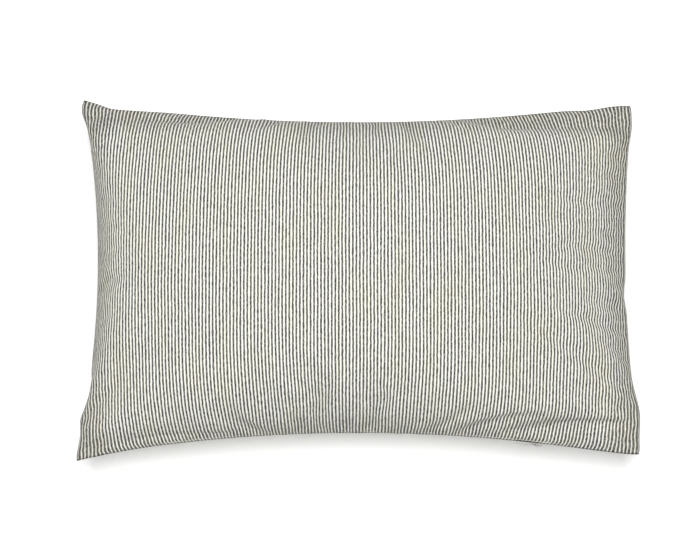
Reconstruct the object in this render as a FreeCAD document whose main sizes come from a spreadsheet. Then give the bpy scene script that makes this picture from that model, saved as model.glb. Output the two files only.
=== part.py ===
import FreeCAD, Part
import Sketcher
import math
import os

from FreeCAD import Placement, Rotation, Vector

# Oblong throw pillow lying on its back: a loose knife-edge cover, closed by a concealed zip
# in the long seam at -Y, over a separate filled insert.  X runs along the long side, Y along
# the short side, Z is the thickness.  The origin is the middle of the patch it rests on.

DRIVING_SIZES = (
    ("corner_span_x", 586.0, "cover, corner to corner along the long side"),
    ("corner_span_y", 386.0, "cover, corner to corner along the short side"),
    ("waist_x", 17.0, "how far each short side pulls in at its middle"),
    ("waist_zip", 27.5, "how far the long side with the zip pulls in at its middle"),
    ("waist_top", 22.5, "how far the other long side pulls in at its middle"),
    ("seam_height", 72.0, "height of the seam plane above the floor"),
    ("front_rise", 84.0, "crown of the front above the seam plane"),
    ("back_drop", 84.0, "free crown of the back below the seam plane"),
    ("crown_power", 1.2, "1 is a full round side, more is a sharper seam"),
    ("cover_cloth", 0.8, "cover fabric thickness"),
    ("insert_cloth", 0.5, "insert fabric thickness"),
    ("allowance", 12.0, "width of the cover's turned-in seam allowance"),
    ("stitch_inset", 9.8, "cover stitching line, in from the seam edge"),
    ("stitch_width", 0.4, "thickness of a stitched line"),
    ("insert_inset", 14.0, "insert edge, in from the cover's edge"),
    ("layer_gap", 0.3, "gap between the cover and the insert over the crown"),
    ("zip_length", 400.0, "zip opening along the seam"),
    ("lip_gap", 0.8, "each edge of the cover along the zip, away from the seam plane"),
    ("tape_face", 1.8, "zip tape, in from the seam edge"),
    ("tape_thick", 0.4, "zip tape thickness"),
    ("tape_bend", 3.6, "height at which a tape leans in"),
    ("tape_top", 9.0, "height of a tape's free edge"),
    ("tape_lean", 3.9, "how far a tape leans in"),
    ("coil_wide", 1.9, "width of one coil"),
    ("coil_deep", 1.8, "depth of one coil"),
    ("coil_part", 0.8, "half the gap between the coils ahead of the slider"),
    ("slider_long", 9.0, "slider length"),
    ("slider_half", 3.5, "half the slider's width"),
    ("slider_deep", 2.9, "slider depth"),
    ("slider_back", 12.0, "slider's middle, in from the zip's closed end"),
    ("neck_half", 0.5, "half the thickness of the slider's neck"),
    ("pivot_out", 1.8, "pull-tab pivot, out from the seam edge"),
    ("tab_long", 24.0, "pull-tab length from its pivot"),
    ("tab_half", 3.2, "half the width of the pull tab"),
    ("tab_thick", 0.8, "pull-tab thickness"),
    ("crossbar_round", 0.5, "radius of the pull tab's crossbar"),
    ("stop_long", 2.0, "length of a zip stop"),
    ("zip_play", 0.3, "running clearance between the slider and the coils"),
    ("tape_past", 8.0, "how far the tapes run past each end of the zip"),
    ("coil_start", 4.0, "where the coils start, in from the zip's open end"),
    ("coil_past", 2.0, "how far the coils run past the closed slider"),
    ("tape_stitch_up", 2.9, "line that sews each tape, away from the seam plane"),
    ("tack_near", 3.2, "bar tack, in from the seam edge"),
    ("tack_far", 8.5, "bar tack's inner end, in from the seam edge"),
    ("tack_past", 1.2, "where a bar tack starts, past the zip's end"),
    ("tack_long", 2.0, "bar tack, along the seam"),
    ("thread_stand", 0.2, "how far a stitch stands proud of the cloth it holds"),
    ("bridge_half", 3.5, "half the length of the slider's bridge"),
    ("bridge_bar", 0.7, "height of the bar round the bridge's opening"),
    ("opening_half", 1.9, "half the length of the bridge's opening"),
    ("neck_start", 0.6, "slider neck, ahead of the slider's middle"),
    ("neck_end", 3.4, "end of the slider neck, ahead of the slider's middle"),
    ("plate_start", 5.0, "pull tab's plate, from its pivot"),
    ("rail_wide", 1.2, "width of the tab's two rails"),
    ("label_thick", 0.4, "thickness of a woven label"),
    ("care_label_long", 45.0, "care label, along the seam"),
    ("insert_label_long", 40.0, "insert label, along the seam"),
    ("insert_label_out", 9.0, "how far the insert label hangs out of the insert's edge"),
    ("overlock_wide", 0.8, "overlocked edge, out from the insert"),
    ("overlock_half", 0.6, "half the thickness of the overlocked edge"),
    ("closing_half", 0.4, "half the thickness of the closing stitches"),
    ("closing_long", 120.0, "stretch left open to fill the insert, then sewn up"),
    ("fill_gap", 0.1, "gap between the filling and the insert"),
)

doc = FreeCAD.newDocument("throw_pillow")
sheet = doc.addObject("Spreadsheet::Sheet", "Sizes")
for line, (alias, value, note) in enumerate(DRIVING_SIZES, start=1):
    sheet.set(f"A{line}", note)
    sheet.set(f"B{line}", str(value))
    sheet.setAlias(f"B{line}", alias)
doc.recompute()


def size(alias):
    return float(sheet.get(alias))


# ------------------------------------------------------------------ the pillow's plan and crown

GRID = 29  # stations each way across a panel
SEAM_Z = size("seam_height")
FRONT, BACK = 1, -1


def plan_point(across, along, inset):
    """Plan position of a cloth station; across and along run from -1 to 1."""
    half_x = size("corner_span_x") / 2 - inset - size("waist_x") * (1 - along**2)
    # the waist passes smoothly from one long side's to the other's between them
    share = (1 + along) / 2
    waist_y = share * size("waist_top") + (1 - share) * size("waist_zip")
    half_y = size("corner_span_y") / 2 - inset - waist_y * (1 - across**2)
    return across * half_x, along * half_y


def stations():
    """Evenly turned stations, closer together towards the steep edges."""
    return [math.radians(180 * i / (GRID - 1) - 90) for i in range(GRID)]


def crown_face(inset, drop, side):
    """Domed face of one panel; drop lowers its crown."""
    free_crown = size("front_rise") if side == FRONT else size("back_drop")
    rise = side * (free_crown - drop)
    grid = []
    for turn_x in stations():
        row = []
        for turn_y in stations():
            x, y = plan_point(math.sin(turn_x), math.sin(turn_y), inset)
            lift = max(math.cos(turn_x) * math.cos(turn_y), 0.0)
            lift = 0.0 if lift < 1e-12 else lift ** size("crown_power")
            row.append(Vector(x, y, SEAM_Z + rise * lift))
        grid.append(row)
    surface = Part.BSplineSurface()
    surface.interpolate(grid)
    return surface.toShape()


def dome(inset, drop, side):
    """Closed half pillow between the seam plane and a domed face, flat where it rests."""
    crown = crown_face(inset, drop, side)
    flat = Part.Face(Part.Wire(Part.__sortEdges__(crown.Edges)))
    solid = Part.makeSolid(Part.makeShell([crown, flat]))
    if solid.Volume < 0:
        solid.reverse()
    if side == BACK:
        solid = solid.common(slab(drop, SEAM_Z))
    return solid


def slab(low, high):
    wide = 2 * size("corner_span_x")
    return Part.makeBox(wide, wide, high - low, Vector(-wide / 2, -wide / 2, low))


def outline_plate(inset, low, high):
    """Plate of the seam's outline, between two heights from the seam plane."""
    edges = []
    for fixed, swap in ((-1, False), (1, True), (1, False), (-1, True)):
        points = []
        for turn in stations():
            run = math.sin(turn)
            pair = (fixed, run) if swap else (run, fixed)
            x, y = plan_point(*pair, inset)
            points.append(Vector(x, y, SEAM_Z + low))
        curve = Part.BSplineCurve()
        curve.interpolate(points)
        edges.append(curve.toShape())
    face = Part.Face(Part.Wire(Part.__sortEdges__(edges)))
    return face.extrude(Vector(0, 0, high - low))


def outline_band(outer, inner, low, high):
    return outline_plate(outer, low, high).cut(outline_plate(inner, low - 1, high + 1))


# ------------------------------------------------------------------ the curved line of the zip

ARC = "(((Sizes.corner_span_x / 2)^2 + Sizes.waist_zip^2) / (2 * Sizes.waist_zip))"
PER_LENGTH = f"(180 / pi / {ARC})"
arc_radius = float(sheet.evalExpression(ARC))
arc_middle_y = -(size("corner_span_y") / 2 - size("waist_zip")) - arc_radius


def revolved_bodies(label, pieces):
    """PartDesign body of strips that follow the seam's arc.

    Each piece is a section, as (in from the seam edge, up from the seam plane) pairs of
    expressions, and the two distances along the seam, from its middle towards +X, that
    the strip lies between."""
    body = doc.addObject("PartDesign::Body", label)
    body.Label = label
    plane = next(f for f in body.Origin.OriginFeatures if f.Role == "XZ_Plane")
    for number, (section, start, end) in enumerate(pieces):
        sketch = body.newObject("Sketcher::SketchObject", f"{label}_section_{number}")
        sketch.AttachmentSupport = [(plane, "")]
        sketch.MapMode = "FlatFace"
        turned = f"(90 - ({start} + {end}) / 2 * {PER_LENGTH})"
        sketch.AttachmentOffset = Placement(Vector(), Rotation(Vector(0, 1, 0), 90))
        sketch.setExpression("AttachmentOffset.Rotation.Angle", turned)
        draw_section(sketch, section)
        strip = body.newObject("PartDesign::Revolution", f"{label}_strip_{number}")
        strip.Profile = sketch
        strip.ReferenceAxis = (sketch, ["V_Axis"])
        strip.Midplane = True
        strip.setExpression("Angle", f"({end} - {start}) * {PER_LENGTH}")
        sketch.Visibility = False
    body.Placement = Placement(Vector(0, arc_middle_y, SEAM_Z), Rotation())
    body.setExpression(
        "Placement.Base.y", f"-(Sizes.corner_span_y / 2 - Sizes.waist_zip) - {ARC}"
    )
    body.setExpression("Placement.Base.z", "Sizes.seam_height")
    return body


def draw_section(sketch, section):
    """Closed straight-sided outline whose corners are bound to the sheet."""
    corners = [(f"{ARC} + {inward}", upward) for inward, upward in section]
    values = [tuple(float(sheet.evalExpression(e)) for e in pair) for pair in corners]
    for first, second in zip(values, values[1:] + values[:1]):
        sketch.addGeometry(Part.LineSegment(Vector(*first, 0), Vector(*second, 0)))
    for number, (pair, value) in enumerate(zip(corners, values)):
        following = (number + 1) % len(values)
        sketch.addConstraint(Sketcher.Constraint("Coincident", number, 2, following, 1))
        for kind, expression, at in zip(("DistanceX", "DistanceY"), pair, value):
            index = sketch.addConstraint(Sketcher.Constraint(kind, -1, 1, number, 1, at))
            sketch.setExpression(f"Constraints[{index}]", expression)


def box_section(near, far, low, high):
    return [(near, low), (far, low), (far, high), (near, high)]


def leaning_section(near, far, side, foot, top):
    """A strip's section: upright as far as the tape's bend, then leaning in."""
    lean = f"Sizes.tape_lean * ({top} - Sizes.tape_bend) / (Sizes.tape_top - Sizes.tape_bend)"
    rising = [(near, foot), (far, foot), (far, "Sizes.tape_bend")]
    rising += [(f"{far} + {lean}", top), (f"{near} + {lean}", top), (near, "Sizes.tape_bend")]
    return [(inward, f"{side} * ({upward})") for inward, upward in rising]


HALF_ZIP = "(Sizes.zip_length / 2)"
SLIDER_AT = f"({HALF_ZIP} - Sizes.slider_back)"
TAPE_END = f"({HALF_ZIP} + Sizes.tape_past)"
COIL_NEAR = "(Sizes.tape_face + Sizes.tape_thick)"
COIL_FAR = f"({COIL_NEAR} + Sizes.coil_deep)"
CLOSED_END = f"({SLIDER_AT} + Sizes.slider_long / 2 + Sizes.coil_past)"
OPEN_END = f"(Sizes.coil_start - {HALF_ZIP})"


def zip_room(side):
    """Gap that the zip needs between the two edges of the cover, on one side of the seam plane."""
    section = box_section(
        "-Sizes.pivot_out", "Sizes.allowance * 1.1", "0", f"{side} * Sizes.lip_gap"
    )
    return revolved_bodies(
        f"zip_room_{side_word(side)}", [(section, f"-{HALF_ZIP}", HALF_ZIP)]
    )


def side_word(side):
    return "front" if side == FRONT else "back"


# ------------------------------------------------------------------ cover

pieces = []


def formed_piece(label, shape):
    """Piece whose form neither a sketch nor a primitive gives."""
    piece = doc.addObject("Part::Feature", label)
    piece.Label = label
    piece.Shape = shape
    piece.Placement = Placement(Vector(0, 0, 0), Rotation())
    pieces.append(piece)
    return piece


def cover_panel(side):
    """One cover panel: its crown and its turned-in allowance, parted along the zip."""
    cloth = size("cover_cloth")
    skin = dome(0, 0, side)
    room = zip_room(side)
    doc.recompute()
    past_allowance = sorted((side * cloth, side * 2 * size("front_rise")))
    above = slab(*(SEAM_Z + level for level in past_allowance))
    mouth = outline_plate(size("allowance"), *sorted((-side, side * cloth)))
    inside = dome(cloth, cloth, side).common(above).fuse(mouth)
    return formed_piece(f"cover_{side_word(side)}_panel", skin.cut(inside).cut(room.Shape))


cover_panel(FRONT)
cover_panel(BACK)


def beyond_zip(margin):
    """Block over the zip's stretch of the seam, with a margin at each end."""
    long = size("zip_length") + 2 * margin
    deep = size("corner_span_y") / 4
    corner = Vector(-long / 2, -size("corner_span_y") / 2, SEAM_Z - deep / 2)
    return Part.makeBox(long, deep, deep, corner)


stitch_reach = size("cover_cloth") + size("thread_stand")
cover_stitches = outline_band(
    size("stitch_inset"),
    size("stitch_inset") + size("stitch_width"),
    -stitch_reach,
    stitch_reach,
).cut(beyond_zip(size("tack_past") + size("tack_long")))
formed_piece("cover_seam_stitching", cover_stitches)



def woven_label(label, outward, long, start, lift):
    """Flat label beside a short side's seam; start is the X of its left end."""
    piece = doc.addObject("Part::Box", label)
    piece.Label = label
    piece.setExpression("Length", outward)
    piece.setExpression("Width", long)
    piece.setExpression("Height", "Sizes.label_thick")
    corner = Vector(start, -float(sheet.evalExpression(long)) / 2, SEAM_Z + lift)
    piece.Placement = Placement(corner, Rotation())
    pieces.append(piece)


EDGE_X = size("corner_span_x") / 2 - size("waist_x")
LABEL_MARGIN = 3  # kept back from the cover's edge
woven_label(
    "care_label",
    f"Sizes.allowance - {LABEL_MARGIN}",
    "Sizes.care_label_long",
    -EDGE_X + LABEL_MARGIN,
    size("cover_cloth"),
)

# ------------------------------------------------------------------ zip in the long seam

for side in (FRONT, BACK):
    word = side_word(side)
    tape = leaning_section(
        "Sizes.tape_face", COIL_NEAR, side, "Sizes.lip_gap", "Sizes.tape_top"
    )
    pieces.append(revolved_bodies(f"zip_tape_{word}", [(tape, f"-{TAPE_END}", TAPE_END)]))
    meshed = box_section(COIL_NEAR, COIL_FAR, "0", f"{side} * Sizes.coil_wide")
    parted = box_section(
        COIL_NEAR,
        COIL_FAR,
        f"{side} * Sizes.coil_part",
        f"{side} * (Sizes.coil_part + Sizes.coil_wide)",
    )
    spans = [(meshed, OPEN_END, SLIDER_AT), (parted, SLIDER_AT, CLOSED_END)]
    pieces.append(revolved_bodies(f"zip_coil_{word}", spans))


def stitched_line(height):
    """Thread through the cover's edge and the tape behind it."""
    return box_section(
        "Sizes.tape_face / 2",
        "Sizes.tape_face + Sizes.tape_thick + Sizes.thread_stand / 2",
        height,
        f"{height} + Sizes.stitch_width",
    )


LOWER_STITCH = "(-Sizes.tape_stitch_up - Sizes.stitch_width)"
for word, height in (("front", "Sizes.tape_stitch_up"), ("back", LOWER_STITCH)):
    line = (stitched_line(height), f"-{HALF_ZIP}", HALF_ZIP)
    pieces.append(revolved_bodies(f"zip_tape_stitching_{word}", [line]))

STOP_FAR = f"({COIL_FAR} + 0.2)"
STOP_TOP = "(Sizes.coil_part + Sizes.coil_wide + 0.2)"
for side in (FRONT, BACK):
    crimp = box_section(
        COIL_NEAR, STOP_FAR, f"{side} * (Sizes.coil_part - 0.1)", f"{side} * {STOP_TOP}"
    )
    span = (CLOSED_END, f"({CLOSED_END} + Sizes.stop_long)")
    pieces.append(revolved_bodies(f"zip_top_stop_{side_word(side)}", [(crimp, *span)]))
BAR_HALF = "(Sizes.coil_wide + 0.3)"
bar = box_section(COIL_NEAR, STOP_FAR, f"-{BAR_HALF}", BAR_HALF)
bar_span = (f"({OPEN_END} - Sizes.stop_long)", OPEN_END)
pieces.append(revolved_bodies("zip_bottom_stop", [(bar, *bar_span)]))

TACK_HALF = "(Sizes.cover_cloth + Sizes.thread_stand)"
tack = box_section("Sizes.tack_near", "Sizes.tack_far", f"-{TACK_HALF}", TACK_HALF)
for word, side in (("left", -1), ("right", 1)):
    reaches = ("Sizes.tack_past", "(Sizes.tack_past + Sizes.tack_long)")
    span = [f"({side} * ({HALF_ZIP} + {reach}))" for reach in reaches[::side]]
    pieces.append(revolved_bodies(f"zip_bar_tack_{word}", [(tack, *span)]))

# ------------------------------------------------------------------ slider and pull tab


def seam_body(label):
    """Body set at the slider's place: X along the seam, Y in from its edge, Z up."""
    body = doc.addObject("PartDesign::Body", label)
    body.Label = label
    turn = -math.degrees((size("zip_length") / 2 - size("slider_back")) / arc_radius)
    around = Rotation(Vector(0, 0, 1), turn)
    middle = Vector(0, arc_middle_y, SEAM_Z)
    body.Placement = Placement(middle + around.multVec(Vector(0, arc_radius, 0)), around)
    return body


def block(body, name, feature, plane_role, corners, depth, offset="0"):
    """Pad or pocket of a bound rectangle, centred on its plane unless it is offset."""
    plane = next(f for f in body.Origin.OriginFeatures if f.Role == plane_role)
    sketch = body.newObject("Sketcher::SketchObject", f"{name}_sketch")
    sketch.AttachmentSupport = [(plane, "")]
    sketch.MapMode = "FlatFace"
    sketch.setExpression("AttachmentOffset.Base.z", offset)
    left, right, low, high = corners
    outline = [(left, low), (right, low), (right, high), (left, high)]
    values = [tuple(float(sheet.evalExpression(e)) for e in pair) for pair in outline]
    for first, second in zip(values, values[1:] + values[:1]):
        sketch.addGeometry(Part.LineSegment(Vector(*first, 0), Vector(*second, 0)))
    for number, (pair, value) in enumerate(zip(outline, values)):
        sketch.addConstraint(
            Sketcher.Constraint("Coincident", number, 2, (number + 1) % 4, 1)
        )
        for kind, expression, at in zip(("DistanceX", "DistanceY"), pair, value):
            index = sketch.addConstraint(Sketcher.Constraint(kind, -1, 1, number, 1, at))
            sketch.setExpression(f"Constraints[{index}]", expression)
    solid = body.newObject(f"PartDesign::{feature}", name)
    solid.Profile = sketch
    solid.Midplane = True
    solid.setExpression("Length", depth)
    doc.recompute()
    return solid


slider = seam_body("zip_slider")
SLIDER_NEAR = f"({COIL_NEAR} + Sizes.zip_play)"
SLIDER_FAR = f"({SLIDER_NEAR} + Sizes.slider_deep)"
CHANNEL_FAR = f"({COIL_FAR} + Sizes.zip_play)"
HALF_LONG = "(Sizes.slider_long / 2)"
# the YZ plane's sketch axes are the body's Y and Z: in from the seam edge, and up
block(
    slider,
    "slider_shell",
    "Pad",
    "YZ_Plane",
    (SLIDER_NEAR, SLIDER_FAR, "-Sizes.slider_half", "Sizes.slider_half"),
    "Sizes.slider_long",
)
REAR_HALF = "(Sizes.coil_wide + Sizes.zip_play)"
FORE_HALF = "(Sizes.coil_part + Sizes.coil_wide + Sizes.zip_play)"
PAST = 1  # how far a cut runs past the face that it opens
block(
    slider,
    "meshed_channel",
    "Pocket",
    "YZ_Plane",
    (f"{SLIDER_NEAR} - {PAST}", CHANNEL_FAR, f"-{REAR_HALF}", REAR_HALF),
    f"Sizes.slider_long + 2 * {PAST}",
)
block(
    slider,
    "parted_channel",
    "Pocket",
    "YZ_Plane",
    (f"{SLIDER_NEAR} - {PAST}", CHANNEL_FAR, f"-{FORE_HALF}", FORE_HALF),
    f"({HALF_LONG} + 1.5 * {PAST})",
    f"({HALF_LONG} + 0.5 * {PAST}) / 2",
)
# the XY plane's sketch axes are the body's X and Y: along the seam, and in from its edge
block(
    slider,
    "slider_neck",
    "Pad",
    "XY_Plane",
    ("Sizes.neck_start", "Sizes.neck_end", "-Sizes.bridge_bar", f"({CHANNEL_FAR} + 0.3)"),
    "Sizes.neck_half * 2",
)
block(
    slider,
    "slider_bridge",
    "Pad",
    "XY_Plane",
    (
        "-Sizes.bridge_half",
        "Sizes.bridge_half",
        "-(Sizes.pivot_out + 2 * Sizes.bridge_bar)",
        "-(Sizes.pivot_out - 2 * Sizes.bridge_bar)",
    ),
    "Sizes.neck_half * 2",
)
block(
    slider,
    "bridge_opening",
    "Pocket",
    "XY_Plane",
    (
        "-Sizes.opening_half",
        "Sizes.opening_half",
        "-(Sizes.pivot_out + Sizes.bridge_bar)",
        "-(Sizes.pivot_out - Sizes.bridge_bar)",
    ),
    "Sizes.neck_half * 4",
)
pieces.append(slider)

tab = seam_body("zip_pull_tab")
TAB_NEAR = "(-Sizes.pivot_out - Sizes.tab_thick / 2)"
TAB_FAR = "(-Sizes.pivot_out + Sizes.tab_thick / 2)"
block(
    tab,
    "tab_plate",
    "Pad",
    "XY_Plane",
    ("-Sizes.tab_long", "-Sizes.plate_start", TAB_NEAR, TAB_FAR),
    "Sizes.tab_half * 2",
)
RAIL_SPAN = ("-(Sizes.plate_start + 0.5)", "Sizes.crossbar_round", TAB_NEAR, TAB_FAR)
RAIL_AT = "(Sizes.tab_half - Sizes.rail_wide)"
for name, level in (("upper_rail", RAIL_AT), ("lower_rail", f"-{RAIL_AT}")):
    block(tab, name, "Pad", "XY_Plane", RAIL_SPAN, "Sizes.rail_wide", level)
plane = next(f for f in tab.Origin.OriginFeatures if f.Role == "XY_Plane")
rod_sketch = tab.newObject("Sketcher::SketchObject", "crossbar_sketch")
rod_sketch.AttachmentSupport = [(plane, "")]
rod_sketch.MapMode = "FlatFace"
rod_middle = Vector(0, -size("pivot_out"), 0)
rod_sketch.addGeometry(Part.Circle(rod_middle, Vector(0, 0, 1), size("crossbar_round")))
rod_sketch.addConstraint(Sketcher.Constraint("PointOnObject", 0, 3, -2))
for kind, first, expression in (
    (Sketcher.Constraint("DistanceY", 0, 3, -1, 1, size("pivot_out")), 1, "Sizes.pivot_out"),
    (Sketcher.Constraint("Radius", 0, size("crossbar_round")), 2, "Sizes.crossbar_round"),
):
    rod_sketch.addConstraint(kind)
    rod_sketch.setExpression(f"Constraints[{first}]", expression)
rod = tab.newObject("PartDesign::Pad", "crossbar")
rod.Profile = rod_sketch
rod.Midplane = True
rod.setExpression("Length", "Sizes.tab_half * 2 - Sizes.rail_wide")
pieces.append(tab)

# ------------------------------------------------------------------ insert


def insert_panel(side):
    """One insert panel, which meets the other edge to edge."""
    outer_drop = size("cover_cloth") + size("layer_gap")
    cloth = size("insert_cloth")
    outer = dome(size("insert_inset"), outer_drop, side)
    inner = dome(size("insert_inset") + cloth, outer_drop + cloth, side)
    return formed_piece(f"insert_{side_word(side)}_panel", outer.cut(inner))


insert_panel(FRONT)
insert_panel(BACK)

edge_half = size("overlock_half")
overlock_out = size("insert_inset") - size("overlock_wide")
overlock = outline_band(overlock_out, size("insert_inset"), -edge_half, edge_half)
closing_long = size("closing_long")
closing_deep = size("corner_span_y") / 6
closing_box = Part.makeBox(
    closing_long,
    closing_deep,
    4 * edge_half,
    Vector(-closing_long / 2, size("corner_span_y") / 2 - closing_deep, SEAM_Z - 2 * edge_half),
)
formed_piece("insert_edge_overlock", overlock.cut(closing_box))
closing_half = size("closing_half")
closing = outline_band(
    overlock_out + size("thread_stand"), size("insert_inset"), -closing_half, closing_half
)
formed_piece("insert_closing_stitches", closing.common(closing_box))
# the insert's label lies on the overlocked edge and clear of the cover's stitching
woven_label(
    "insert_label",
    "Sizes.insert_label_out",
    "Sizes.insert_label_long",
    EDGE_X - size("insert_inset") + size("insert_cloth"),
    stitch_reach + size("fill_gap"),
)

fill_inset = size("insert_inset") + size("insert_cloth") + 2 * size("fill_gap")
fill_drop = size("cover_cloth") + size("layer_gap") + size("insert_cloth") + size("fill_gap")
fill_front = dome(fill_inset, fill_drop, FRONT)
fill_back = dome(fill_inset, fill_drop, BACK)
formed_piece("fibre_filling", fill_front.fuse(fill_back).removeSplitter())

# ------------------------------------------------------------------ check and write

doc.recompute()
for thing in doc.Objects:
    if {"Invalid", "Error"} & set(thing.State):
        raise RuntimeError(f"{thing.Label} failed: {thing.State}")
for piece in pieces:
    if piece.Shape.isNull() or not piece.Shape.isValid():
        raise RuntimeError(f"{piece.Label} has no valid shape")


def mesh_volume(shape):
    """Volume of a fine mesh, which is truer than the surface integral on trimmed crowns."""
    points, faces = shape.tessellate(0.3)
    return sum(points[a].dot(points[b].cross(points[c])) for a, b, c in faces) / 6


os.makedirs("parts", exist_ok=True)
for piece in pieces:
    piece.Shape.exportStep(f"parts/{piece.Label}.step")
    bounds = piece.Shape.optimalBoundingBox(True, False)
    print(
        f"{piece.Label:26s} solids {len(piece.Shape.Solids)}"
        f"  volume {mesh_volume(piece.Shape):12.1f}"
        f"  x {bounds.XMin:8.2f} {bounds.XMax:8.2f}"
        f"  y {bounds.YMin:8.2f} {bounds.YMax:8.2f}"
        f"  z {bounds.ZMin:7.2f} {bounds.ZMax:7.2f}"
    )
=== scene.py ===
import math

import bmesh
import bpy
import numpy as np
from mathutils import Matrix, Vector


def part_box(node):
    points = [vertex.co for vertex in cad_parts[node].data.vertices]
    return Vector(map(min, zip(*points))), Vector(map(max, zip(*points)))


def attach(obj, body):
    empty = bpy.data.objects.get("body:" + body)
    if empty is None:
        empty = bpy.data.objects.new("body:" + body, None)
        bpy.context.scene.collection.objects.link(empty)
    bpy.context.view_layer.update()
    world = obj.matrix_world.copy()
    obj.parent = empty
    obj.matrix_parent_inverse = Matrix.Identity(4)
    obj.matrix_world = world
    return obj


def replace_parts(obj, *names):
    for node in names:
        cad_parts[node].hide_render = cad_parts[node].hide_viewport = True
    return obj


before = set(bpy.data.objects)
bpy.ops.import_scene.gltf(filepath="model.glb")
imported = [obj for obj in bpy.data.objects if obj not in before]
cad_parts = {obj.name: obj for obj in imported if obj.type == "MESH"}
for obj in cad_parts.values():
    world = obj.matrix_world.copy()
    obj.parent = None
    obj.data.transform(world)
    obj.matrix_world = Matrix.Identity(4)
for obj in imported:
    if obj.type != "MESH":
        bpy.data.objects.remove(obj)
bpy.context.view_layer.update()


# ---------------------------------------------------------------- cover, cut and filled
# Two panels of striped linen and cotton, cut 600 by 400 mm, are sewn round the edge with the
# seam allowance turned in, and filled until the cloth is taut.  The edge is a plain knife
# edge: it pulls in between the corners, which stay out as soft pointed ears.

CUT_LONG = 0.600
CUT_SHORT = 0.400
CLOTH_GIVE = np.array([1.004, 1.010])  # how much the filled weave gives along and across
DRAW_IN_FRAMES = 12
SETTLED_FRAME = 45
ACROSS = 120  # cloth squares along the long side
ALONG = 80
front_low, front_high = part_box("cover_front_panel")
SEAM_Z = front_low.z
HALF_SPAN_X = front_high.x
HALF_SPAN_Y = front_high.y
FRONT_RISE = front_high.z - SEAM_Z
WAIST_LEFT = 0.0195
WAIST_RIGHT = 0.0110
WAIST_TOP = 0.0225
WAIST_ZIP = 0.0275  # the zip is set to this curve
EAR_SKEW = 0.0034  # the left ears are spread by this and the right ones drawn in by it
SEAM_EASE = 0.062
TIP_BLUNT = 0.007
# height, middle and width of each swell of an edge; inwards is positive
LEFT_SWELLS = ((-0.0035, -0.77, 0.06), (-0.0040, 0.92, 0.07), (0.0042, -0.60, 0.08))
RIGHT_SWELLS = ((0.0025, -0.10, 0.07), (-0.005, -0.76, 0.13), (-0.002, 0.86, 0.08))
TOP_SWELLS = ((0.0055, -0.85, 0.09), (0.0020, 0.84, 0.06))
CROWN_POWER = 0.6
CLOTH_CLEAR = 0.0005  # from a panel to the seam plane, the table or another panel
BELLY_CLEAR = 0.0004


def pulled_in(waist, run, swells):
    """How far an edge stands inside its corners: a plain waist with a few swells."""
    inwards = waist * (1 - run**2)
    for height, middle, width in swells:
        inwards = inwards + height * np.exp(-(((run - middle) / width) ** 2))
    return inwards


def plan_place(across, along):
    """Where a point of the cut cloth lies in plan once the seam has pulled in."""
    # the long seams are eased towards their middles, and the ears stretch a little
    across = across * (1 - SEAM_EASE * (1 - across**4))
    left = pulled_in(WAIST_LEFT, along, LEFT_SWELLS)
    right = pulled_in(WAIST_RIGHT, along, RIGHT_SWELLS)
    top = pulled_in(WAIST_TOP, across, TOP_SWELLS)
    share_x = (1 + across) / 2
    x = across * (HALF_SPAN_X - share_x * right - (1 - share_x) * left)
    share_y = (1 + along) / 2
    y = along * (HALF_SPAN_Y - share_y * top - (1 - share_y) * WAIST_ZIP * (1 - across**2))
    y = y - along * EAR_SKEW * across**9
    blunt = 1 - TIP_BLUNT * (across * along) ** 60
    return x * blunt, y * blunt


def cloth_grid():
    """Stations of a double layer of cloth that shares its edge, and its square faces."""
    number = {}
    places = []
    faces = []
    for layer in (1, -1):
        for i in range(ACROSS + 1):
            for j in range(ALONG + 1):
                on_seam = i in (0, ACROSS) or j in (0, ALONG)
                key = (0 if on_seam else layer, i, j)
                if key not in number:
                    number[key] = len(places)
                    places.append((2 * i / ACROSS - 1, 2 * j / ALONG - 1, key[0]))
                number[(layer, i, j)] = number[key]
        for i in range(ACROSS):
            for j in range(ALONG):
                ring = ((i, j), (i + 1, j), (i + 1, j + 1), (i, j + 1))
                faces.append([number[(layer, a, b)] for a, b in ring[::layer]])
    return np.array(places), faces, number


def crown_guess(places):
    """The filled shape by formula: what the simulation replaces, and its drawn-in seam."""
    across, along, layer = places.T
    x, y = plan_place(across, along)
    lift = (np.clip(1 - across**2, 0, 1) * np.clip(1 - along**2, 0, 1)) ** CROWN_POWER
    z = SEAM_Z + layer * FRONT_RISE * lift
    return np.stack([x, y, np.maximum(z, BELLY_CLEAR)], axis=1)


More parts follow.
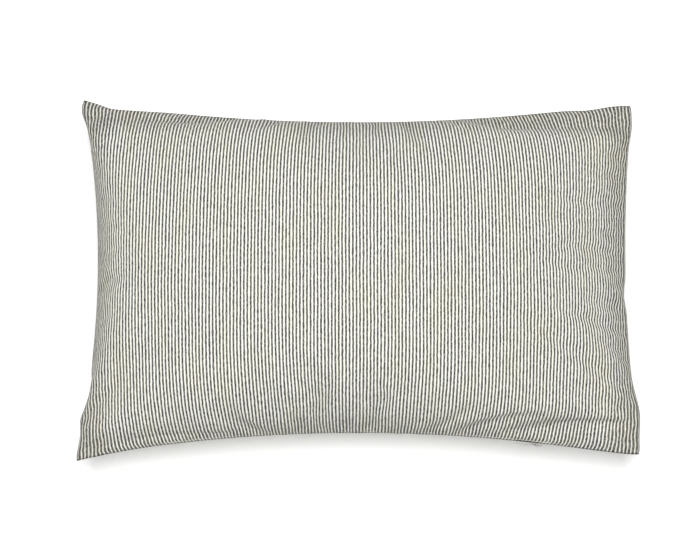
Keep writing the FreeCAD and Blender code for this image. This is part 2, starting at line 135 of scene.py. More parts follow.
def fill_cover(places, faces):
    """Cloth simulation: the flat panels are drawn in at the seam while they blow up."""
    scene = bpy.context.scene
    half_cut = np.array([CUT_LONG, CUT_SHORT]) / 2 * CLOTH_GIVE
    cut = places * np.array([*half_cut, CLOTH_CLEAR]) + np.array([0, 0, SEAM_Z])
    mesh = bpy.data.meshes.new("filled_cover")
    mesh.from_pydata(cut.tolist(), [], faces)
    cloth = bpy.data.objects.new("filled_cover", mesh)
    scene.collection.objects.link(cloth)
    cloth.shape_key_add(name="cut")
    drawn_in = cloth.shape_key_add(name="drawn_in")
    drawn_in.data.foreach_set("co", crown_guess(places).astype(np.float32).ravel())
    drawn_in.value = 0
    drawn_in.keyframe_insert("value", frame=1)
    drawn_in.value = 1
    drawn_in.keyframe_insert("value", frame=DRAW_IN_FRAMES)
    seam = cloth.vertex_groups.new(name="seam")
    seam.add([int(n) for n in np.flatnonzero(places[:, 2] == 0)], 1.0, "REPLACE")

    table_mesh = bpy.data.meshes.new("filling_table")
    table_mesh.from_pydata([(-1, -1, 0), (1, -1, 0), (1, 1, 0), (-1, 1, 0)], [], [(0, 1, 2, 3)])
    table = bpy.data.objects.new("filling_table", table_mesh)
    scene.collection.objects.link(table)
    table.modifiers.new("Collision", "COLLISION")
    table.collision.thickness_outer = CLOTH_CLEAR

    modifier = cloth.modifiers.new("Cloth", "CLOTH")
    fabric = modifier.settings
    fabric.quality = 8
    fabric.mass = 0.01
    fabric.air_damping = 2
    fabric.tension_stiffness = 200
    fabric.compression_stiffness = 40
    fabric.shear_stiffness = 10
    fabric.bending_model = "ANGULAR"
    fabric.bending_stiffness = 0.25
    fabric.tension_damping = 15
    fabric.compression_damping = 15
    fabric.shear_damping = 12
    fabric.bending_damping = 4
    fabric.vertex_group_mass = "seam"
    fabric.use_pressure = True
    fabric.uniform_pressure_force = 30
    fabric.effector_weights.gravity = 0
    modifier.collision_settings.use_collision = True
    modifier.collision_settings.distance_min = CLOTH_CLEAR
    modifier.point_cache.frame_start = 1
    modifier.point_cache.frame_end = SETTLED_FRAME + 1
    for step in range(1, SETTLED_FRAME + 1):
        scene.frame_set(step)
    settled = cloth.evaluated_get(bpy.context.evaluated_depsgraph_get()).data
    shape = np.zeros(len(settled.vertices) * 3)
    settled.vertices.foreach_get("co", shape)
    scene.frame_set(1)
    bpy.data.objects.remove(cloth)
    bpy.data.objects.remove(table)
    return shape.reshape(-1, 3)


places, cloth_faces, station = cloth_grid()
filled = fill_cover(places, cloth_faces)
lowest = filled[:, 2].min()
filled[:, 2] -= lowest * np.clip((SEAM_Z - filled[:, 2]) / (SEAM_Z - lowest), 0, 1)

RUN = np.linspace(-1, 1, ACROSS + 1)
RISE = np.linspace(-1, 1, ALONG + 1)
TAPE_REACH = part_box("zip_tape_front")[1].x
ZIP_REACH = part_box("zip_tape_stitching_front")[1].x
ZIP_LIP = 0.0008  # each edge stands this far off the seam plane along the zip
SEAM_LIP = 0.00015
TURN_IN = 0.004  # how much of the turned-in allowance is made
FOLD_CREASE = 0.55
EAR_HALF = 0.0026  # half the thickness of an ear
TURN_IN_REACH = 0.008
# nearest and furthest in from the seam, and least height, of the two rows over the zip
ZIP_ROWS = ((1, 0.0002, 0.0014, 0.0048), (2, 0.0012, 0.0058, 0.0072))
ROWS_EASED = ((3, 0.6), (4, 0.3), (5, 0.1))  # rows that follow the second one
ZIP_FADE_FROM, ZIP_FADE = 0.014, 0.010  # the zip's hold ends past its tape, over a length
LIP_EASE = 0.0015
CRUMPLE = 0.0009
CRUMPLE_RISE = 0.7
CRUMPLE_START = 0.006
CRUMPLE_REACH = 0.050


def new_object(name, verts, faces, smooth=True):
    """A mesh object in the scene."""
    mesh = bpy.data.meshes.new(name)
    mesh.from_pydata([tuple(v) for v in verts], [], [[int(n) for n in f] for f in faces])
    if smooth:
        mesh.shade_smooth()
    thing = bpy.data.objects.new(name, mesh)
    bpy.context.scene.collection.objects.link(thing)
    return thing


def layer_grid(layer):
    """The filled shape of one panel as a grid of points, held off the zip along its run."""
    order = [[station[(layer, i, j)] for j in range(ALONG + 1)] for i in range(ACROSS + 1)]
    grid = filled[np.array(order)]
    # the turned-in edges of both panels keep the ears from closing quite flat
    inset_x = (1 - np.abs(RUN))[:, None] * CUT_LONG / 2
    inset_y = (1 - np.abs(RISE))[None] * CUT_SHORT / 2
    kept_apart = EAR_HALF * np.clip(np.minimum(inset_x, inset_y) / TURN_IN_REACH, 0, 1)
    lifted = np.maximum(layer * (grid[..., 2] - SEAM_Z), kept_apart)
    grid[..., 2] = SEAM_Z + layer * lifted
    # the steep short sides are crumpled
    near_side = np.clip(inset_x / CRUMPLE_START, 0, 1)
    near_side = near_side * np.clip(1 - inset_x / CRUMPLE_REACH, 0, 1)
    # crossing waves, in radians to the metre up and across the cut
    u, v = RUN[:, None] * CUT_LONG / 2, RISE[None] * CUT_SHORT / 2
    ripple = np.sin(440 * v + 160 * u) * np.sin(190 * v - 330 * u + 1.3)
    ripple = ripple + 0.8 * np.sin(290 * v - 240 * u + layer)
    grid[..., 0] += CRUMPLE * near_side * ripple
    grid[..., 2] += CRUMPLE_RISE * CRUMPLE * near_side * ripple * layer
    seam = grid[:, 0]
    held = np.clip((TAPE_REACH + ZIP_FADE_FROM - np.abs(seam[:, 0])) / ZIP_FADE, 0, 1)
    for row, nearest, furthest, height in ZIP_ROWS:
        before = grid[:, row].copy()
        inward = grid[:, row, 1] - seam[:, 1]
        lifted = layer * (grid[:, row, 2] - SEAM_Z)
        inward += held * (np.clip(inward, nearest, furthest) - inward)
        lifted += held * (np.maximum(lifted, height) - lifted)
        grid[:, row, 1] = seam[:, 1] + inward
        grid[:, row, 2] = SEAM_Z + layer * lifted
    for row, share in ROWS_EASED:
        grid[:, row] += share * (grid[:, 2] - before)
    return grid


def lip_height(x, zip_side):
    """How far a panel's edge stands off the seam plane: the two part along the zip."""
    parted = 1 / (1 + math.exp((abs(x) - ZIP_REACH) / LIP_EASE))
    return SEAM_LIP + (ZIP_LIP - SEAM_LIP) * parted * zip_side


def cover_panel(name, layer):
    """One panel with its edge turned in, its cut pattern kept as a UV map in metres."""
    grid = layer_grid(layer)
    verts = []
    flat = []
    index = np.zeros((ACROSS + 3, ALONG + 3), dtype=int)
    for i in range(-1, ACROSS + 2):
        for j in range(-1, ALONG + 2):
            a, b = min(max(i, 0), ACROSS), min(max(j, 0), ALONG)
            x, y, z = grid[a, b]
            if a in (0, ACROSS) or b in (0, ALONG):
                z = SEAM_Z + layer * lip_height(x, b == 0)
            turned_x = TURN_IN * np.sign(RUN[a]) * (a != i)
            turned_y = TURN_IN * np.sign(RISE[b]) * (b != j)
            index[i + 1, j + 1] = len(verts)
            verts.append((x - turned_x, y - turned_y, z))
            flat.append((RUN[a] * CUT_LONG / 2 + turned_x, RISE[b] * CUT_SHORT / 2 + turned_y))
    faces = []
    for i in range(ACROSS + 2):
        for j in range(ALONG + 2):
            if i in (0, ACROSS + 1) and j in (0, ALONG + 1):
                continue
            ring = [index[i, j], index[i + 1, j], index[i + 1, j + 1], index[i, j + 1]]
            faces.append(ring[::layer])
    used = sorted({n for face in faces for n in face})
    renumbered = {old: new for new, old in enumerate(used)}
    faces = [[renumbered[n] for n in face] for face in faces]
    panel = new_object(name, [verts[n] for n in used], faces)
    uv = panel.data.uv_layers.new(name="cut_pattern")
    for loop in panel.data.loops:
        uv.data[loop.index].uv = flat[used[loop.vertex_index]]
    crease = panel.data.attributes.new("crease_edge", "FLOAT", "EDGE")
    rim = {renumbered[index[i, j]] for i in (1, ACROSS + 1) for j in range(1, ALONG + 2)}
    rim |= {renumbered[index[i, j]] for i in range(1, ACROSS + 2) for j in (1, ALONG + 1)}
    for edge in panel.data.edges:
        if edge.vertices[0] in rim and edge.vertices[1] in rim:
            crease.data[edge.index].value = FOLD_CREASE
    rounding = panel.modifiers.new("rounding", "SUBSURF")
    rounding.levels = rounding.render_levels = 1
    return panel


cover_front = cover_panel("cover_front_cloth", 1)
cover_back = cover_panel("cover_back_cloth", -1)
for panel, node in ((cover_front, "cover_front_panel"), (cover_back, "cover_back_panel")):
    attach(panel, "pillow")
    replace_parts(panel, node)


# ---------------------------------------------------------------- striped linen
# A plain weave: warp stripes of charcoal and ivory yarn, equal and 3.6 mm from one to the
# next, crossed by ivory weft.  The charcoal yarns are slubby, so the weft shows through them
# in specks, and the stripes waver a little as the loose weave shifts.
# Towards the seams the cloth is darkened with painted shade.


class Strand:
    """One number in a material; arithmetic on it adds the Math nodes."""

    def __init__(self, finish, socket):
        self.finish = finish
        self.socket = socket

    def math(self, operation, *values, clamp=False):
        settings = {"operation": operation, "use_clamp": clamp}
        sockets = dict(enumerate(values))
        return self.finish.add("ShaderNodeMath", settings, sockets)

    def __add__(self, other):
        return self.math("ADD", self, other)

    def __sub__(self, other):
        return self.math("SUBTRACT", self, other)

    def __mul__(self, other):
        return self.math("MULTIPLY", self, other)

    def __truediv__(self, other):
        return self.math("DIVIDE", self, other)

    def __radd__(self, other):
        return self.math("ADD", other, self)

    def __rsub__(self, other):
        return self.math("SUBTRACT", other, self)

    def __rmul__(self, other):
        return self.math("MULTIPLY", other, self)

    def __abs__(self):
        return self.math("ABSOLUTE", self)

    def wave(self):
        return self.math("SINE", self)

    def part(self):
        """What is left past the last whole number."""
        return self.math("FRACT", self)

    def held(self):
        """The number kept between 0 and 1."""
        return self.math("ADD", self, 0.0, clamp=True)


class Finish:
    """A material being mixed; add() places any node."""

    def __init__(self, name, roughness):
        self.material = bpy.data.materials.new(name)
        self.material.use_nodes = True
        self.tree = self.material.node_tree
        self.shader = self.tree.nodes["Principled BSDF"]
        self.shader.inputs["Roughness"].default_value = roughness

    def add(self, kind, settings=None, sockets=None, out=0):
        """A node: its settings first, then its sockets' values or links."""
        node = self.tree.nodes.new(kind)
        for key, value in (settings or {}).items():
            setattr(node, key, value)
        for key, value in (sockets or {}).items():
            self.plug(node.inputs[key], value)
        return Strand(self, node.outputs[out])

    def plug(self, socket, value):
        if isinstance(value, Strand):
            self.tree.links.new(value.socket, socket)
        else:
            socket.default_value = value

    def mix(self, share, first, second):
        """A colour between two colours."""
        sockets = {0: share, 6: first, 7: second}
        return self.add("ShaderNodeMix", {"data_type": "RGBA"}, sockets, out=2)

    def noise(self, place, scale, detail=2.0):
        sockets = {"Vector": place, "Scale": scale, "Detail": detail}
        return self.add("ShaderNodeTexNoise", None, sockets)

    def stretched(self, place, stretch):
        """A place scaled by its own factor each way."""
        settings = {"operation": "MULTIPLY"}
        return self.add("ShaderNodeVectorMath", settings, {0: place, 1: stretch})

    def bump(self, height, distance, strength=1.0):
        sockets = {"Height": height, "Distance": distance, "Strength": strength}
        return self.add("ShaderNodeBump", None, sockets)

    def set(self, **sockets):
        """Values and links of the shader, with underscores for spaces."""
        for key, value in sockets.items():
            self.plug(self.shader.inputs[key.replace("_", " ")], value)
        return self


STRIPE_PITCH = 0.0036
DARK_SHARE = 0.52
WARP_PITCH = 0.0006
WEFT_PITCH = 0.0007
IVORY = (0.77, 0.77, 0.69, 1)
IVORY_WARM = (0.68, 0.66, 0.45, 1)
IVORY_SHADED = (0.50, 0.49, 0.41, 1)
CHARCOAL = (0.036, 0.036, 0.056, 1)
CHARCOAL_WORN = (0.22, 0.22, 0.23, 1)
BROWN_GREY = (0.065, 0.060, 0.050, 1)
WAVER, FIDGET = 0.0013, 0.0008  # how far the stripes wander, slowly and finely
SLUB = 0.42
EDGE_SHADE_X, EDGE_SHADE_Y = (0.262, 0.036), (0.158, 0.040)  # where painted shade starts darkening the cloth towards the seams, over how far
EDGE_SHADE_LIFT = 0.007  # a little sooner at the top than at the zip
# how much wider the dark stripes are drawn at the seams, as painted shade
EDGE_SHADE_WIDENING = 0.14
LINEN_PILE = 0.00025
# cells to the metre across and along the cut
WAVER_GRAIN = (60, 26, 1)
FIDGET_GRAIN = (420, 230, 1)
SLUB_GRAIN = (480, 200, 1)
SPECK_GRAIN = (620, 380, 1)
SHADE_GRAIN = (34, 11, 1)


def striped_linen():
    linen = Finish("striped_linen", 0.88)
    pattern = linen.add("ShaderNodeUVMap", {"uv_map": "cut_pattern"})
    across = linen.add("ShaderNodeSeparateXYZ", None, {"Vector": pattern}, out="X")
    along = linen.add("ShaderNodeSeparateXYZ", None, {"Vector": pattern}, out="Y")
    waver = linen.noise(linen.stretched(pattern, WAVER_GRAIN), 1.0, 3.0) - 0.5
    fidget = linen.noise(linen.stretched(pattern, FIDGET_GRAIN), 1.0, 1.0) - 0.5
    shifted = across + waver * WAVER + fidget * FIDGET
    from_middle = abs((shifted / STRIPE_PITCH).part() - 0.5) * 2.0
    slub = linen.noise(linen.stretched(pattern, SLUB_GRAIN), 1.0, 2.0) - 0.5
    # painted shade: the cloth is darkened towards the seams, with wider dark stripes, browner
    # charcoal and darker ivory
    edge_shade_x = ((abs(across) - EDGE_SHADE_X[0]) / EDGE_SHADE_X[1]).held()
    edge_shade_y = ((abs(along + EDGE_SHADE_LIFT) - EDGE_SHADE_Y[0]) / EDGE_SHADE_Y[1]).held()
    edge_shade = (edge_shade_x + edge_shade_y).held()
    width = slub * SLUB + edge_shade * EDGE_SHADE_WIDENING + DARK_SHARE
    dark = ((width - from_middle) * 2.8 + 0.5).held()
    edge = 1.0 - (abs(width - from_middle) * 5.0).held()
    specks = linen.noise(linen.stretched(pattern, SPECK_GRAIN), 1.0, 2.0)
    worn = ((specks - 0.45) * 5.0).held()
    shade = linen.noise(linen.stretched(pattern, SHADE_GRAIN), 1.0, 2.0)
    # random mottling browns the charcoal, and painted shade browns it more towards the seams
    mottle_and_edge_shade = ((shade - 0.45) * 3.0 + edge_shade * 0.8).held()
    charcoal = linen.mix(mottle_and_edge_shade, CHARCOAL, BROWN_GREY)
    charcoal = linen.mix(worn * 0.85, charcoal, CHARCOAL_WORN)
    ivory = linen.mix((edge * 0.8 + (shade - 0.5) * 0.9).held(), IVORY, IVORY_WARM)
    # painted shade darkens the ivory towards the seams
    ivory = linen.mix(edge_shade * 0.48, ivory, IVORY_SHADED)
    thread = (along * (math.pi / WEFT_PITCH)).wave() * (across * (math.pi / WARP_PITCH)).wave()
    pile = linen.bump(thread * 0.5 + specks * 0.8 - dark * 0.35, LINEN_PILE, 0.6)
    linen.set(Base_Color=linen.mix(dark, ivory, charcoal), Normal=pile)
    linen.set(Sheen_Weight=0.1, Sheen_Roughness=0.5, Specular_IOR_Level=0.2)
    return linen.material


linen = striped_linen()
cover_front.data.materials.append(linen)
cover_back.data.materials.append(linen)


# ---------------------------------------------------------------- insert
# The filled inner pillow: two panels of plain white cotton percale, overlocked round the
# edge, with one stretch sewn up by hand after filling.  It stands 14 mm inside the cover's
# edge and fills the cover's crown.

CASE_SHARE = (0.952, 0.925)  # of the cover's cut, each way
CASE_GAP = 0.0013
PERCALE_PITCH = 0.0003
COTTON_LIGHT = (0.91, 0.905, 0.88, 1)
COTTON_DEEP = (0.84, 0.83, 0.79, 1)
PLY_PITCH = 0.0008


def inner_shape(layer, share, gap):
    """A smaller cut laid under the cover's filled shape, closing to the seam plane."""
    grid = layer_grid(layer)
    row_at = (RUN[::2] * share[0] + 1) / 2 * ACROSS
    column_at = (RISE[::2] * share[1] + 1) / 2 * ALONG
    row, column = np.floor(row_at).astype(int), np.floor(column_at).astype(int)
    part_row = (row_at - row)[:, None, None]
    part_column = (column_at - column)[None, :, None]
    along_row = grid[row] * (1 - part_row) + grid[row + 1] * part_row
    inner = along_row[:, column] * (1 - part_column) + along_row[:, column + 1] * part_column
    edge = np.maximum(np.abs(RUN[::2])[:, None], np.abs(RISE[::2])[None])
    lifted = (layer * (inner[..., 2] - SEAM_Z) - gap) * (1 - edge**10)
    inner[..., 2] = SEAM_Z + layer * np.maximum(lifted, 0)
    return inner


def grid_faces(rows, columns, turned=False):
    faces = []
    for i in range(rows - 1):
        for j in range(columns - 1):
            first = i * columns + j
            ring = [first, first + columns, first + columns + 1, first + 1]
            faces.append(ring[::-1] if turned else ring)
    return faces


def casing(name, layer):
    """One cotton panel, its cut pattern kept as a UV map in metres."""
    shape = inner_shape(layer, CASE_SHARE, CASE_GAP)
    rows, columns = shape.shape[:2]
    panel = new_object(name, shape.reshape(-1, 3), grid_faces(rows, columns, layer < 0))
    uv = panel.data.uv_layers.new(name="cut_pattern")
    for loop in panel.data.loops:
        i, j = divmod(loop.vertex_index, columns)
        uv.data[loop.index].uv = (i * CUT_LONG / (rows - 1), j * CUT_SHORT / (columns - 1))
    return panel


def percale():
    cotton = Finish("cotton_percale", 0.8)
    pattern = cotton.add("ShaderNodeUVMap", {"uv_map": "cut_pattern"})
    across = cotton.add("ShaderNodeSeparateXYZ", None, {"Vector": pattern}, out="X")
    along = cotton.add("ShaderNodeSeparateXYZ", None, {"Vector": pattern}, out="Y")
    weave = (across * (math.pi / PERCALE_PITCH)).wave() * (along * (math.pi / PERCALE_PITCH)).wave()
    cloudy = cotton.noise(pattern, 25.0, 3.0)
    colour = cotton.mix(cloudy, COTTON_DEEP, COTTON_LIGHT)
    cotton.set(Base_Color=colour, Normal=cotton.bump(weave + cloudy, 0.0001, 0.5))
    cotton.set(Sheen_Weight=0.1)
    return cotton.material


cotton = percale()
for name, layer, node in (
    ("insert_front_casing", 1, "insert_front_panel"),
    ("insert_back_casing", -1, "insert_back_panel"),
):
    panel = casing(name, layer)
    panel.data.materials.append(cotton)
    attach(panel, "pillow")
    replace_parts(panel, node)


def twisted_thread(name, light, deep):
    """Spun thread whose plies show as a fine slanting twist."""
    spun = Finish(name, 0.7)
    place = spun.add("ShaderNodeTexCoord", out="Object")
    run = spun.add("ShaderNodeSeparateXYZ", None, {"Vector": place}, out="X")
    rise = spun.add("ShaderNodeSeparateXYZ", None, {"Vector": place}, out="Y")
    ply = ((run + rise) * (2 * math.pi / PLY_PITCH)).wave() * 0.5 + 0.5
    fuzz = spun.noise(place, 900.0)
    colour = spun.mix((ply * 0.7 + fuzz * 0.3).held(), deep, light)
    spun.set(Base_Color=colour, Normal=spun.bump(ply + fuzz * 0.4, 0.0002, 0.7))
    spun.set(Sheen_Weight=0.15)
    return spun.material


def dress(node, material):
    """A finish for a CAD piece that is shown as it is."""
    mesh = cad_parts[node].data
    mesh.materials.clear()
    mesh.materials.append(material)


thread_white = twisted_thread("white_thread", (0.86, 0.85, 0.81, 1), (0.62, 0.61, 0.57, 1))
dress("insert_edge_overlock", thread_white)
dress("insert_closing_stitches", thread_white)


# ---------------------------------------------------------------- fibre filling
# Siliconised polyester fibre, blown in loose and slightly lumpy.  It fills the casing and
# takes its shape.

FILL_SHARE = (0.944, 0.913)
FILL_GAP = 0.0024
FLUFF_LIGHT = (0.94, 0.94, 0.93, 1)
FLUFF_DEEP = (0.80, 0.80, 0.79, 1)
shapes = [inner_shape(layer, FILL_SHARE, FILL_GAP) for layer in (1, -1)]
rows, columns = shapes[0].shape[:2]
fill_faces = grid_faces(rows, columns)
fill_faces += [[n + rows * columns for n in f] for f in grid_faces(rows, columns, True)]
filling = new_object("fibre_fill", np.concatenate(shapes).reshape(-1, 3), fill_faces)
sealing = filling.modifiers.new("sealed_edge", "WELD")
sealing.merge_threshold = 0.00005
fluff = Finish("polyester_fibre", 0.95)
tufts = fluff.add("ShaderNodeTexCoord", out="Object")
clumps = fluff.noise(tufts, 60.0, 6.0)
strands = fluff.noise(fluff.stretched(tufts, (300, 900, 300)), 1.0, 4.0)
fluff_colour = fluff.mix(clumps, FLUFF_DEEP, FLUFF_LIGHT)
fluff.set(Base_Color=fluff_colour, Normal=fluff.bump(clumps + strands * 0.5, 0.002, 0.8))
fluff.set(Sheen_Weight=0.3)
filling.data.materials.append(fluff.material)
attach(filling, "pillow")
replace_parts(filling, "fibre_filling")


# ---------------------------------------------------------------- seam stitching and labels
# One line of lockstitch holds the cover's two panels inside the edge.  A folded satin label
# for washing instructions is caught in the left seam, and the insert has its own.  Both
# are left blank.

seam_thread = twisted_thread("seam_thread", (0.70, 0.69, 0.63, 1), (0.45, 0.44, 0.40, 1))
dress("cover_seam_stitching", seam_thread)

SATIN_PITCH = 0.0005
SATIN_LIGHT = (0.90, 0.89, 0.87, 1)
SATIN_DEEP = (0.80, 0.79, 0.76, 1)
RUNS, SIDES = 9, 13  # stations of a label along and across it
satin = Finish("satin_label", 0.42)
satin_place = satin.add("ShaderNodeTexCoord", out="Object")
satin_run = satin.add("ShaderNodeSeparateXYZ", None, {"Vector": satin_place}, out="X")
floats = (satin_run * (2 * math.pi / SATIN_PITCH)).wave() * 0.5 + 0.5
satin_cloud = satin.noise(satin_place, 300.0)
satin_colour = satin.mix(floats * 0.6 + satin_cloud * 0.4, SATIN_DEEP, SATIN_LIGHT)
satin.set(Base_Color=satin_colour, Normal=satin.bump(floats + satin_cloud, 0.00006, 0.5))
satin.set(Sheen_Weight=0.2, Specular_IOR_Level=0.6)


def folded_label(name, node, shift, curl):
    """A loop of ribbon in the space of its CAD label, its free end curling up a little."""
    low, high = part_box(node)
    runs = np.linspace(0, 1, RUNS)
    sides = np.linspace(low.y, high.y, SIDES)
    thick = high.z - low.z
    verts = []
    for level in (0, 1):
        for run in runs:
            for side in sides:
                lift = curl * run**2 + 0.0002 * math.sin(side * 260)
                x = low.x + shift + run * (high.x - low.x)
                verts.append((x, side, low.z + lift + level * thick))
    half = len(verts) // 2
    faces = grid_faces(RUNS, SIDES, True)
    faces += [[n + half for n in f] for f in grid_faces(RUNS, SIDES)]
    rim = [(0, j) for j in range(SIDES)] + [(i, SIDES - 1) for i in range(1, RUNS)]
    rim += [(RUNS - 1, j) for j in range(SIDES - 2, -1, -1)]
    rim += [(i, 0) for i in range(RUNS - 2, 0, -1)]
    around = [i * SIDES + j for i, j in rim]
    for first, second in zip(around, around[1:] + around[:1]):
        faces.append([first, first + half, second + half, second])
    ribbon = new_object(name, verts, faces, smooth=False)
    ribbon.data.materials.append(satin.material)
    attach(ribbon, "pillow")
    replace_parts(ribbon, node)


folded_label("care_label_ribbon", "care_label", 0.0045, 0.0012)
folded_label("insert_label_ribbon", "insert_label", -0.001, 0.0010)


# ---------------------------------------------------------------- zip
# A concealed nylon coil zip in the lower long seam.  Its two woven tapes are sewn inside
# the cover's edges, which meet over it; wire stops end the coils, and a bar tack in thread
# closes the seam at each end.

RIB_PITCH = 0.0007
RIB_SLANT = 0.0016
TAPE_LIGHT = (0.74, 0.73, 0.67, 1)
TAPE_DEEP = (0.52, 0.51, 0.46, 1)
TAPE_FACE = 0.0018
TAPE_THICK = 0.0004
TAPE_FOOT = 0.0008
TAPE_BEND = 0.0034
TAPE_UNDER = 0.0012  # its free edge lies this far under the cover
tape = Finish("zip_tape_weave", 0.8)
tape_place = tape.add("ShaderNodeTexCoord", out="Object")
tape_run = tape.add("ShaderNodeSeparateXYZ", None, {"Vector": tape_place}, out="X")
tape_rise = tape.add("ShaderNodeSeparateXYZ", None, {"Vector": tape_place}, out="Z")
slant = abs((tape_rise / RIB_SLANT).part() - 0.5) * RIB_SLANT
ribs = ((tape_run + slant) * (2 * math.pi / RIB_PITCH)).wave() * 0.5 + 0.5
tape.set(Base_Color=tape.mix(ribs, TAPE_DEEP, TAPE_LIGHT))
tape.set(Normal=tape.bump(ribs, 0.00015, 0.7), Sheen_Weight=0.1)


def zip_tape(name, layer):
    """One tape: upright behind the coil, then lying against the inside of the cover."""
    grid = layer_grid(layer)
    stations = [i for i in range(ACROSS + 1) if abs(grid[i, 0, 0]) < TAPE_REACH]
    verts = []
    for i in stations:
        x, y = grid[i, 0, :2]
        second = grid[i, 2]
        free_edge = max(second[1] - y, TAPE_FACE + 0.001)
        under = min(layer * (grid[i, 1:4, 2] - SEAM_Z)) - TAPE_UNDER
        free_rise = max(under, TAPE_BEND + 0.0002)
        section = ((TAPE_FACE, TAPE_FOOT), (TAPE_FACE, TAPE_BEND), (free_edge, free_rise))
        for inward, upward in section:
            verts.append((x, y + inward, SEAM_Z + layer * upward))
    strip = new_object(name, verts, grid_faces(len(stations), 3, layer < 0))
    woven = strip.modifiers.new("woven_thickness", "SOLIDIFY")
    woven.thickness = TAPE_THICK
    woven.offset = 1
    strip.data.materials.append(tape.material)
    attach(strip, "pillow")
    return strip


for side, layer in (("front", 1), ("back", -1)):
    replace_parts(zip_tape(f"zip_tape_woven_{side}", layer), f"zip_tape_{side}")
    dress(f"zip_tape_stitching_{side}", seam_thread)
for end in ("left", "right"):
    dress(f"zip_bar_tack_{end}", seam_thread)

ARC_RADIUS = (HALF_SPAN_X**2 + WAIST_ZIP**2) / (2 * WAIST_ZIP)
ARC_MIDDLE_Y = -(HALF_SPAN_Y - WAIST_ZIP) - ARC_RADIUS
COIL_PITCH = 0.00127
COIL_WIRE = 0.00062
COIL_IN = 0.0031  # from the seam's edge to the middle of a loop
LOOP_IN, LOOP_UP = 0.00088, 0.00092  # half a loop's reach
MESHED_UP, APART_UP = 0.00095, 0.0008  # off the seam plane when meshed, and more when apart
LOOP_CORNERS = 12
NYLON_LIGHT = (0.72, 0.71, 0.66, 1)
NYLON_DEEP = (0.60, 0.59, 0.54, 1)
ENAMEL_LIGHT = (0.19, 0.185, 0.17, 1)
ENAMEL_DEEP = (0.13, 0.127, 0.12, 1)
slider_low, slider_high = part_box("zip_slider")
coil_low, coil_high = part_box("zip_coil_front")
SLIDER_AT = (slider_low.x + slider_high.x) / 2


def on_seam(run, inward, upward):
    """A point from its distance along the zip's seam, in from the edge, and up."""
    turn = run / ARC_RADIUS
    reach = ARC_RADIUS + inward
    return (reach * math.sin(turn), ARC_MIDDLE_Y + reach * math.cos(turn), SEAM_Z + upward)


def coil(name, side):
    """One side of the zip: loops of wire, apart ahead of the slider and meshed behind it."""
    verts = []
    faces = []
    corners = LOOP_CORNERS
    count = int((coil_high.x - coil_low.x) / COIL_PITCH)
    for loop in range(count):
        run = coil_low.x + 0.001 + (loop + 0.25 * (1 + side)) * COIL_PITCH
        spread = min(max((run - SLIDER_AT + 0.002) / 0.004, 0), 1)
        start = len(verts)
        for edge in (-COIL_WIRE / 2, COIL_WIRE / 2):
            for corner in range(corners):
                angle = 2 * math.pi * corner / corners
                inward = COIL_IN + LOOP_IN * math.cos(angle)
                off_plane = side * (MESHED_UP + APART_UP * spread)
                upward = off_plane + LOOP_UP * math.sin(angle)
                verts.append(on_seam(run + edge, inward, upward))
        faces.append([start + n for n in range(corners)])
        faces.append([start + corners + n for n in reversed(range(corners))])
        for n in range(corners):
            after = (n + 1) % corners
            ring = [start + after, start + n, start + corners + n, start + corners + after]
            faces.append(ring)
    return new_object(name, verts, faces, smooth=False)


nylon = Finish("nylon_coil", 0.35)
nylon_place = nylon.add("ShaderNodeTexCoord", out="Object")
nylon_cloud = nylon.noise(nylon_place, 700.0)
nylon.set(Base_Color=nylon.mix(nylon_cloud, NYLON_DEEP, NYLON_LIGHT))
nylon.set(Roughness=nylon_cloud * 0.25 + 0.25)
for side, word in ((1, "front"), (-1, "back")):
    loops = coil(f"zip_loops_{word}", side)
    loops.data.materials.append(nylon.material)
    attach(loops, "pillow")
    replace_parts(loops, f"zip_coil_{word}")

enamel = Finish("stone_enamel", 0.38)
enamel_place = enamel.add("ShaderNodeTexCoord", out="Object")
orange_peel = enamel.noise(enamel_place, 1500.0)
enamel.set(Base_Color=enamel.mix(orange_peel, ENAMEL_DEEP, ENAMEL_LIGHT))
enamel.set(Roughness=orange_peel * 0.2 + 0.28, Normal=enamel.bump(orange_peel, 0.00005, 0.4))
enamel.set(Coat_Weight=0.3)


def eased_copy(node, name, ease, body):
    """The CAD piece with its sharp edges tumbled round, as on a die-cast part."""
    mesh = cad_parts[node].data.copy()
    mesh.name = name
    mesh.materials.clear()
    mesh.materials.append(enamel.material)
    shape = bmesh.new()
    shape.from_mesh(mesh)
    bmesh.ops.remove_doubles(shape, verts=shape.verts, dist=1e-6)
    bmesh.ops.dissolve_limit(
        shape, angle_limit=math.radians(2), verts=shape.verts, edges=shape.edges
    )
    shape.to_mesh(mesh)
    shape.free()
    mesh.shade_smooth()
    piece = bpy.data.objects.new(name, mesh)
    bpy.context.scene.collection.objects.link(piece)
    tumbled = piece.modifiers.new("tumbled", "BEVEL")
    tumbled.width = ease
    tumbled.segments = 3
    tumbled.limit_method = "ANGLE"
    tumbled.harden_normals = True
    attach(piece, body)
    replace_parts(piece, node)


eased_copy("zip_slider", "zip_slider_cast", 0.00025, "slider")
eased_copy("zip_pull_tab", "zip_pull_tab_cast", 0.0003, "pull_tab")
for stop in ("zip_top_stop_front", "zip_top_stop_back", "zip_bottom_stop"):
    dress(stop, enamel.material)


# ---------------------------------------------------------------- floor, light and camera
# A white paper floor under one broad soft light overhead, as in a plain studio, and a long
# lens that looks down on the pillow from a little in front of it.

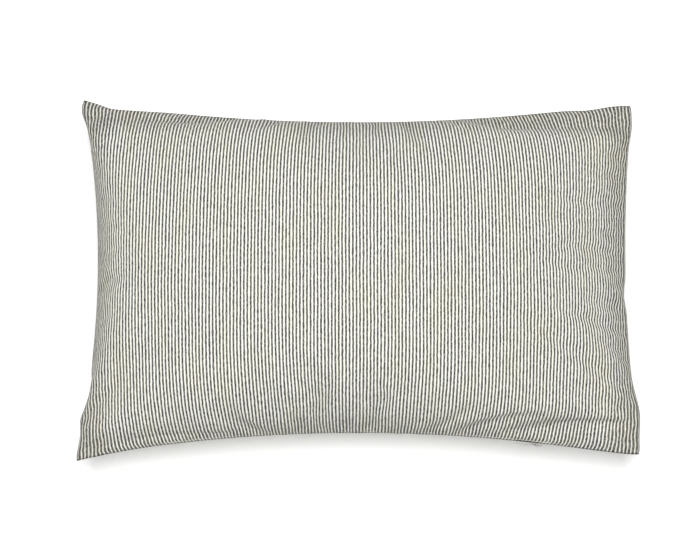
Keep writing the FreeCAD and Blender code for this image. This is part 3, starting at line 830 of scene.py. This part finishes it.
FLOOR_GLOW = 0.20  # the paper is lit from below too
WORLD_LIGHT = 0.42
PAPER_LIGHT = (0.95, 0.95, 0.945, 1)
PAPER_DEEP = (0.93, 0.935, 0.93, 1)
floor_mesh = bpy.data.meshes.new("studio_floor")
floor_mesh.from_pydata([(-4, -4, 0), (4, -4, 0), (4, 4, 0), (-4, 4, 0)], [], [(0, 1, 2, 3)])
floor = bpy.data.objects.new("studio_floor", floor_mesh)
bpy.context.scene.collection.objects.link(floor)
paper = Finish("white_paper", 0.9)
fibres = paper.noise(paper.add("ShaderNodeTexCoord", out="Object"), 40.0)
paper.set(Base_Color=paper.mix(fibres, PAPER_DEEP, PAPER_LIGHT))
paper.set(Specular_IOR_Level=0.1)
paper.set(Emission_Color=(1, 1, 1, 1), Emission_Strength=FLOOR_GLOW)
floor.data.materials.append(paper.material)

world = bpy.data.worlds.new("studio")
world.use_nodes = True
world.node_tree.nodes["Background"].inputs["Color"].default_value = (1, 1, 1, 1)
world.node_tree.nodes["Background"].inputs["Strength"].default_value = WORLD_LIGHT
bpy.context.scene.world = world
bpy.context.scene.view_settings.view_transform = "Standard"


def soft_light(name, place, width, power):
    """A square lamp that faces the pillow."""
    light = bpy.data.lights.new(name, "AREA")
    light.size = width
    light.energy = power
    lamp = bpy.data.objects.new(name, light)
    lamp.location = place
    aim = Vector((0, 0, SEAM_Z)) - Vector(place)
    lamp.rotation_euler = aim.to_track_quat("-Z", "Y").to_euler()
    bpy.context.scene.collection.objects.link(lamp)


soft_light("overhead", (0.0, 0.02, 2.4), 1.3, 62)

CAMERA_RISE = math.radians(76.6)
CAMERA_AWAY = 3.0
VIEW_WIDTH = 0.736  # of the seam plane
VIEW_MIDDLE = (-0.008, -0.0025)
lens = bpy.data.cameras.new("camera")
lens.sensor_width = 36
lens.lens = 36 * CAMERA_AWAY / VIEW_WIDTH
camera = bpy.data.objects.new("camera", lens)
aim = Vector((*VIEW_MIDDLE, SEAM_Z))
camera.location = aim + CAMERA_AWAY * Vector((0, -math.cos(CAMERA_RISE), math.sin(CAMERA_RISE)))
camera.rotation_euler = (math.pi / 2 - CAMERA_RISE, 0, 0)
bpy.context.scene.collection.objects.link(camera)
bpy.context.scene.camera = camera
